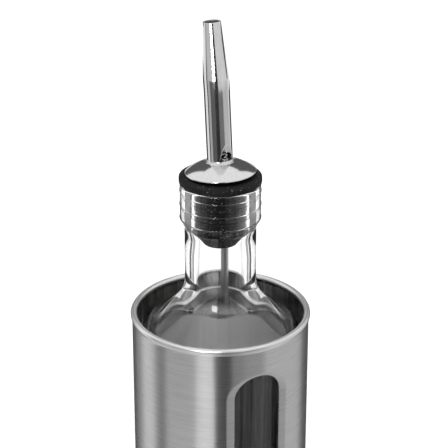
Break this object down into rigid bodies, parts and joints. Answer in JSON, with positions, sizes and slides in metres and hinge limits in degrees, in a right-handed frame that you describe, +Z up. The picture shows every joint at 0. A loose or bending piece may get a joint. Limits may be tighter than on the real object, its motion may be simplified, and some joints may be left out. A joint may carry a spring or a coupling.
{
  "type": "oil and vinegar bottle",
  "caption": "Clear glass bottle in a brushed steel sleeve with a tall window, closed by a black rubber cork with a polished dome and a bent, tapered pouring spout.",
  "frame": {"origin": "centre of the underside of the foot pad, where the bottle stands on a table", "axes": "+Z up the bottle's axis; the sleeve's window looks along -Y"},
  "size_m": [0.068, 0.068, 0.3025],
  "materials": {
    "foot_rubber": "matt, lightly pebbled",
    "base_steel": "pressed, satin",
    "sleeve_steel": "brushed round the tube, satin",
    "cushion_foam": "matt, soft",
    "clear_glass": "clear and smooth",
    "cork_rubber": "black, satin",
    "polished_steel": "polished",
    "vent_steel": "drawn, satin"
  },
  "bodies": {
    "sleeve": {"steel_sleeve": "sleeve_steel", "sleeve_base": "base_steel", "foot_pad": "foot_rubber", "bottle_cushion": "cushion_foam"},
    "bottle": {"glass_bottle": "clear_glass"},
    "stopper": {"cork": "cork_rubber"},
    "spout": {"dome_collar": "polished_steel", "pour_spout": "polished_steel", "vent_tube": "vent_steel"}
  },
  "joints": [
    {"name": "bottle_lift", "type": "slide", "parent": "sleeve", "child": "bottle", "axis": [0, 0, 1], "range_m": [0, 0.2]},
    {"name": "cork_pull", "type": "slide", "parent": "bottle", "child": "stopper", "axis": [0, 0, 1], "range_m": [0, 0.055]},
    {"name": "spout_turn", "type": "hinge", "parent": "stopper", "child": "spout", "pos_m": [0, 0, 0.2469], "axis": [0, 0, 1], "continuous": true}
  ]
}
